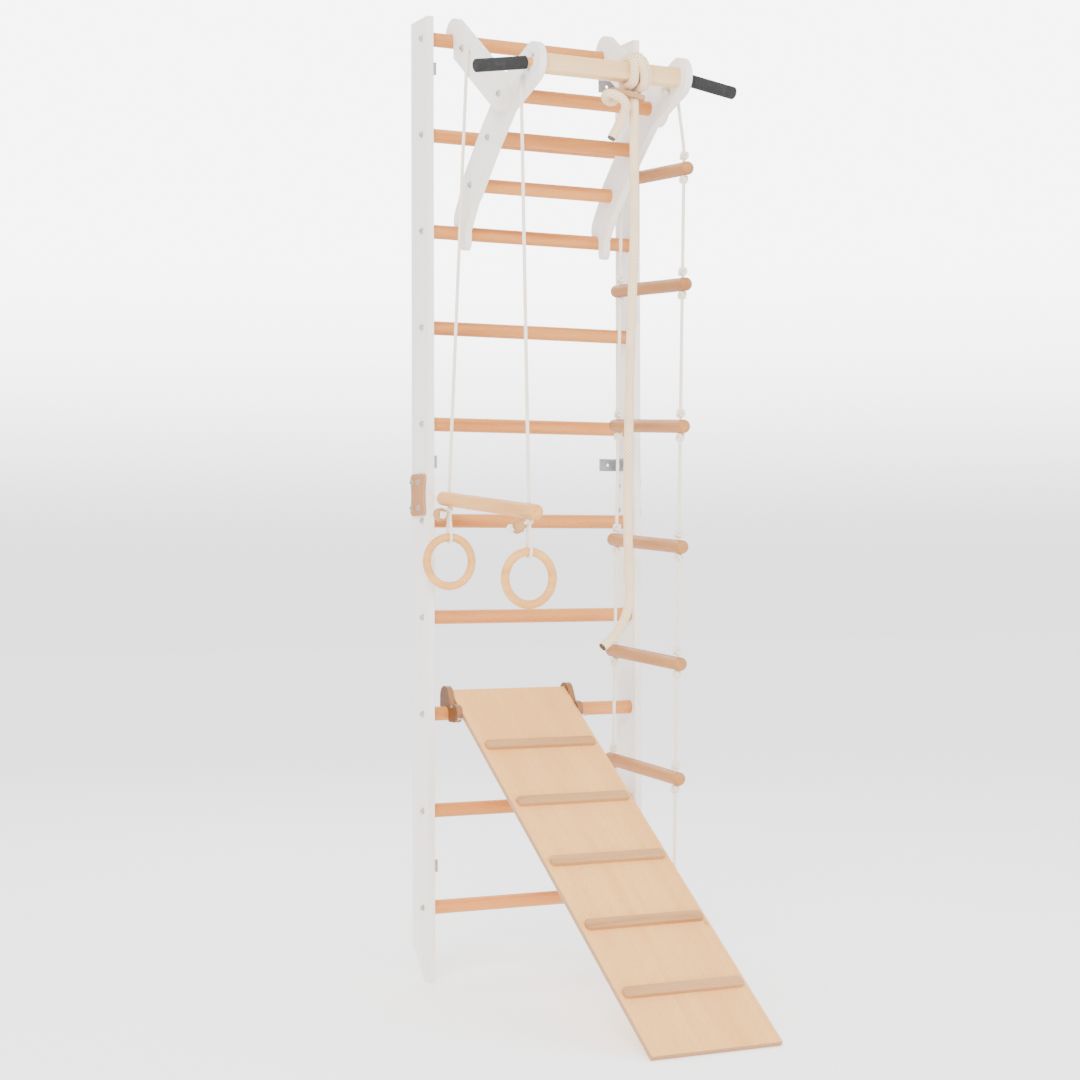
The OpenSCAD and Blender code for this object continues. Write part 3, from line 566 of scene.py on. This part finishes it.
def add_trapeze_ropes(fibre):
    """The trapeze's ropes and knots, the beads' short tails and the loops that hold the rings."""
    ropes, knots = [], []
    for place, (x, out, z) in zip(("back", "front"), EXITS):
        lo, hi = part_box("ring_loop_" + place)
        y, half = (lo.y + hi.y) / 2, (hi.y - lo.y) / 2 - LOOP_RADIUS
        hole = on_dowel("trapeze_bar", y, TRAPEZE_DIAMETER)
        knot = hole - Vector((0, 0, 0.0253))
        tail = [knot + Vector(offset) for offset in BEAD_TAILS[place]]
        ropes.append(thin_rope([(-x, BACK - out, z), hole + Vector((0, 0, 0.024)), hole, knot]))
        ropes.append(thin_rope(tail))
        knots.append(thin_knot(knot, (0, 0, 1), 0.0105))
        knots.append(thin_knot(tail[-1], tail[-1] - tail[-2], 0.0105))
        foot = lo.z + LOOP_RADIUS + half
        bend = [(hole.x, y - half * math.cos(a), foot - half * math.sin(a))
                for a in (math.pi * k / 12 for k in range(13))]
        top = [knot + Vector((0, side * 0.004, -0.004)) for side in (-1, 1)]
        rope_piece("loop_" + place, place + "_ring", ["ring_loop_" + place],
                   [thin_rope([top[0]] + bend + [top[1]], 4, LOOP_RADIUS)], fibre)
    rope_piece("trapeze_rope_pair", "trapeze", ["trapeze_ropes"], ropes, fibre)
    rope_piece("trapeze_knot_set", "trapeze", ["trapeze_knots"], knots, fibre)


def add_ladder_ropes(fibre):
    """The ladder's two ropes, with a knot above and below every rung."""
    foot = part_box("ladder_ropes")[0].z + 0.002
    ropes, knots = [], []
    for (x, out, z), ladder_y in zip(EXITS, LADDER_YS):
        places = [on_dowel(f"ladder_rung_{i}", BACK - ladder_y, LADDER_DIAMETER)
                  for i in range(1, 8)]
        end = Vector((places[-1].x, places[-1].y, foot))
        ropes.append(thin_rope([(x, BACK - out, z), places[0] + Vector((0, 0, 0.051)), *places,
                                end], 8))
        for place in places:
            for up, flip in LADDER_KNOTS:
                knots.append(thin_knot(place + Vector((0, 0, up)), (0, 0, 1), 0.0125,
                                       KNOT_RADIUS, flip, 2.3))
    rope_piece("ladder_rope_pair", "rope_ladder", ["ladder_ropes"], ropes, fibre)
    rope_piece("ladder_knot_set", "rope_ladder", ["ladder_knots"], knots, fibre)


# ---- floor and light ------------------------------------------------------

def add_floor():
    """A plain pale floor that glows a little, so that it stays as light as the backdrop."""
    bpy.ops.mesh.primitive_plane_add(size=40, location=(0, 0, -0.0005))
    floor = bpy.context.object
    floor.name = "floor"
    look = Look("floor_matt", 0.7)
    tone = look.ramp(look.noise(look.place.outputs["Object"], 0.8, 3), (0.3, 0.90), (0.7, 0.93))
    look.shader.inputs["Emission Color"].default_value = (1, 1, 1, 1)
    look.shader.inputs["Emission Strength"].default_value = 0.6
    floor.data.materials.append(look.finish(tone, edge=0))


def add_area(name, at, towards, size, watts):
    """A round lamp that faces a point."""
    data = bpy.data.lights.new(name, "AREA")
    data.shape, data.size, data.energy = "DISK", size, watts
    light = bpy.data.objects.new(name, data)
    bpy.context.scene.collection.objects.link(light)
    light.location = at
    light.rotation_euler = (Vector(towards) - Vector(at)).to_track_quat("-Z", "Y").to_euler()


def add_light():
    """Three soft lamps in a pale studio whose backdrop grows lighter above the floor."""
    middle = (0, 0, 1.2)
    add_area("key", (-3.5, -4.0, 4.6), middle, 3.0, 480)
    add_area("fill", (4.0, -3.5, 2.6), middle, 3.5, 120)
    add_area("rim", (0.5, 3.5, 4.0), middle, 3.0, 120)
    world = bpy.data.worlds.new("studio")
    world.use_nodes = True
    tree = world.node_tree
    height = tree.nodes.new("ShaderNodeSeparateXYZ")
    tree.links.new(tree.nodes.new("ShaderNodeTexCoord").outputs["Generated"], height.inputs[0])
    backdrop = tree.nodes.new("ShaderNodeMapRange")
    backdrop.interpolation_type = "SMOOTHSTEP"
    for socket, value in (("From Min", 0.0), ("From Max", 0.14), ("To Min", 2.4), ("To Max", 7.0)):
        backdrop.inputs[socket].default_value = value
    tree.links.new(height.outputs[2], backdrop.inputs[0])
    strength = tree.nodes.new("ShaderNodeMix")
    strength.inputs["A"].default_value = 2.0    # what lights the object
    tree.links.new(tree.nodes.new("ShaderNodeLightPath").outputs["Is Camera Ray"],
                   strength.inputs["Factor"])
    tree.links.new(backdrop.outputs[0], strength.inputs["B"])
    tree.nodes["Background"].inputs["Color"].default_value = (1, 1, 1, 1)
    tree.links.new(strength.outputs[0], tree.nodes["Background"].inputs["Strength"])
    bpy.context.scene.world = world


add_camera()
# each rope's second colour is painted shade for its grooves, and also the tone of its soil
climbing_fibre = rope_fibre("climbing_fibre", (0.92, 0.70, 0.45), (0.42, 0.25, 0.12), 8, 0.0084)
thin_fibre = rope_fibre("thin_fibre", (0.90, 0.82, 0.71), (0.60, 0.47, 0.35), 5, 0.006)
add_free_ropes(climbing_fibre)
add_bar_hitch(climbing_fibre)
add_arm_knots(thin_fibre)
add_trapeze_ropes(thin_fibre)
add_ladder_ropes(thin_fibre)
paint_wall_frame()
paint_pull_up_frame()
paint_slide()
paint_hanging_parts()
add_floor()
add_light()
